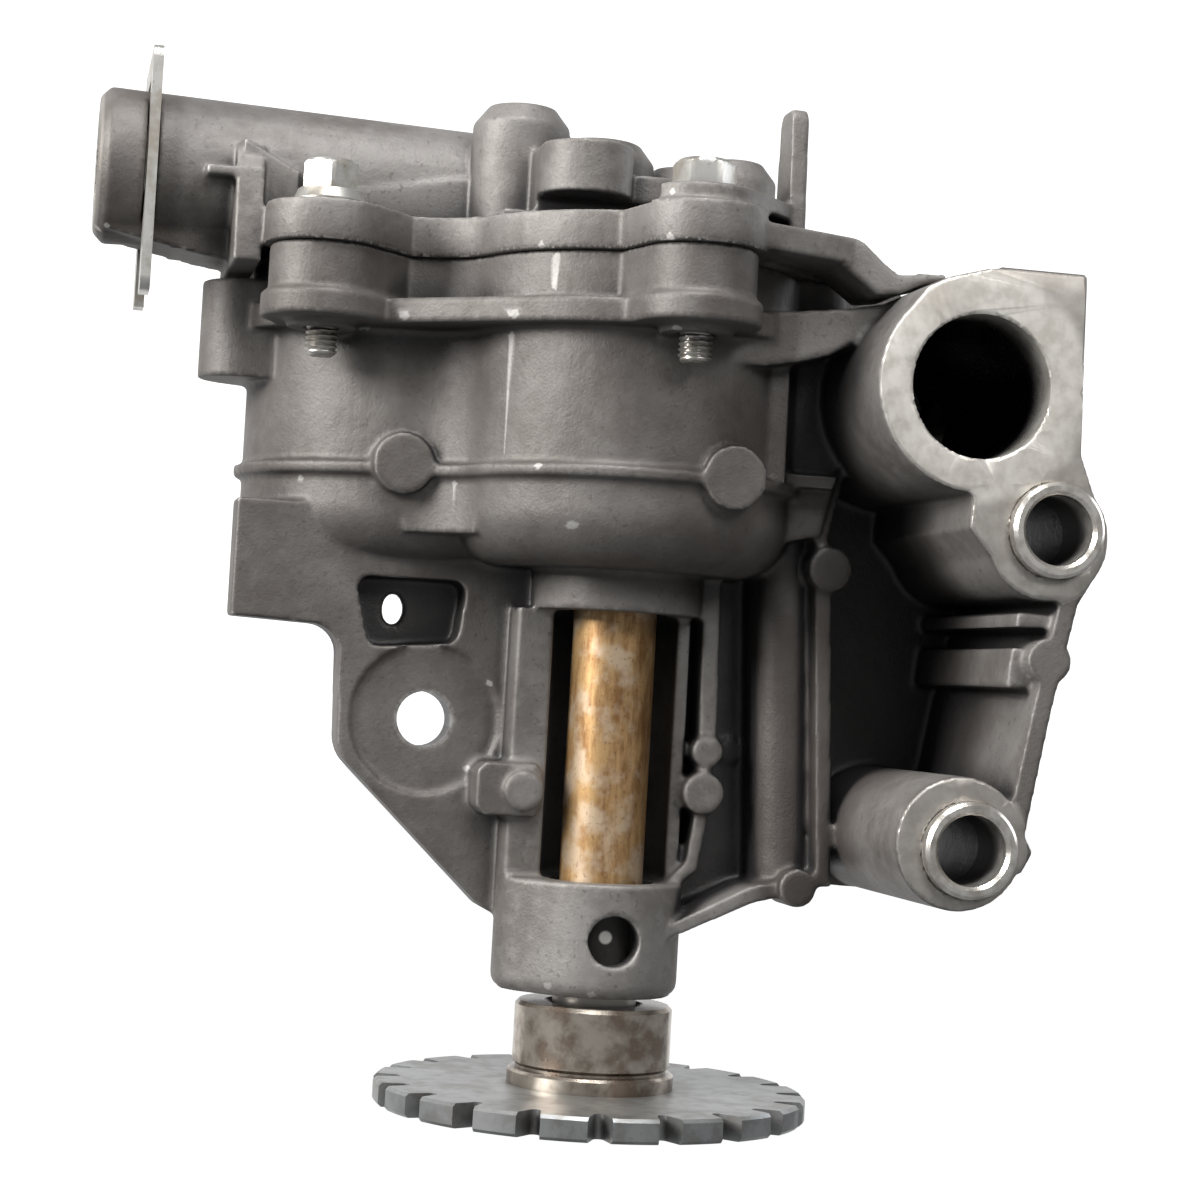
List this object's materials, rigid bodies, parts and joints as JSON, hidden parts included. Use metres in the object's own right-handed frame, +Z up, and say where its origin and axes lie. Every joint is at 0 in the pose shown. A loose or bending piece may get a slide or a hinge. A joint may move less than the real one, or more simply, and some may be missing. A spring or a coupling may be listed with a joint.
{
  "type": "engine oil pump",
  "caption": "Chain-driven external gear oil pump with a windowed shaft column, a bolted cover carrying a relief valve, and a side mounting face with a delivery port.",
  "frame": {"origin": "on the drive shaft axis, in the middle of the sprocket's thickness", "axes": "+Z up along the drive shaft from the sprocket to the cover; the machined mounting face looks along -Y; +X from the shaft to the mounting block"},
  "size_m": [0.1454, 0.1046, 0.1602],
  "materials": {
    "cast_aluminium": "die-cast, oil stained",
    "cover_casting": "die-cast, oil stained",
    "varnished_shaft": "ground steel with oil varnish",
    "gear_steel": "ground",
    "sprocket_steel": "satin",
    "hub_steel": "turned, oil tinted",
    "sleeve_steel": "turned",
    "bush_bronze": "bearing bronze",
    "zinc_bolts": "bright zinc",
    "spring_steel": "spring steel",
    "seal_rubber": "matte"
  },
  "bodies": {
    "housing": {"pump_body": "cast_aluminium", "top_cover": "cover_casting", "lower_shaft_bush": "bush_bronze", "upper_shaft_bush": "bush_bronze", "cover_shaft_bush": "bush_bronze", "driven_gear_pin": "gear_steel", "cover_bolts": "zinc_bolts", "cover_dowels": "gear_steel", "upper_mount_sleeve": "sleeve_steel", "lower_mount_sleeve": "sleeve_steel", "passage_plug": "sleeve_steel", "relief_plug": "gear_steel", "plug_seal": "seal_rubber", "relief_clip": "zinc_bolts", "relief_spring": "spring_steel"},
    "drive_rotor": {"drive_shaft": "varnished_shaft", "drive_key": "gear_steel", "gear_retaining_ring": "spring_steel", "hub_retaining_ring": "spring_steel", "drive_gear": "gear_steel", "sprocket_hub": "hub_steel", "drive_sprocket": "sprocket_steel"},
    "driven_rotor": {"driven_gear": "gear_steel", "driven_gear_bush": "bush_bronze"},
    "valve_piston": {"relief_piston": "gear_steel"}
  },
  "joints": [
    {"name": "drive_spin", "type": "hinge", "parent": "housing", "child": "drive_rotor", "pos_m": [0, 0, 0.1095], "axis": [0, 0, 1], "continuous": true},
    {"name": "driven_spin", "type": "hinge", "parent": "housing", "child": "driven_rotor", "pos_m": [-0.03034, 0.0237, 0.1095], "axis": [0, 0, 1], "continuous": true},
    {"name": "relief_slide", "type": "slide", "parent": "housing", "child": "valve_piston", "axis": [-1, 0, 0], "range_m": [0, 0.007], "stiffness_N_per_m": 1500, "springref_m": -0.004, "deforming": ["relief_spring"]}
  ],
  "couplings": [
    {"joint": "driven_spin", "follows": "drive_spin", "ratio": -1}
  ]
}
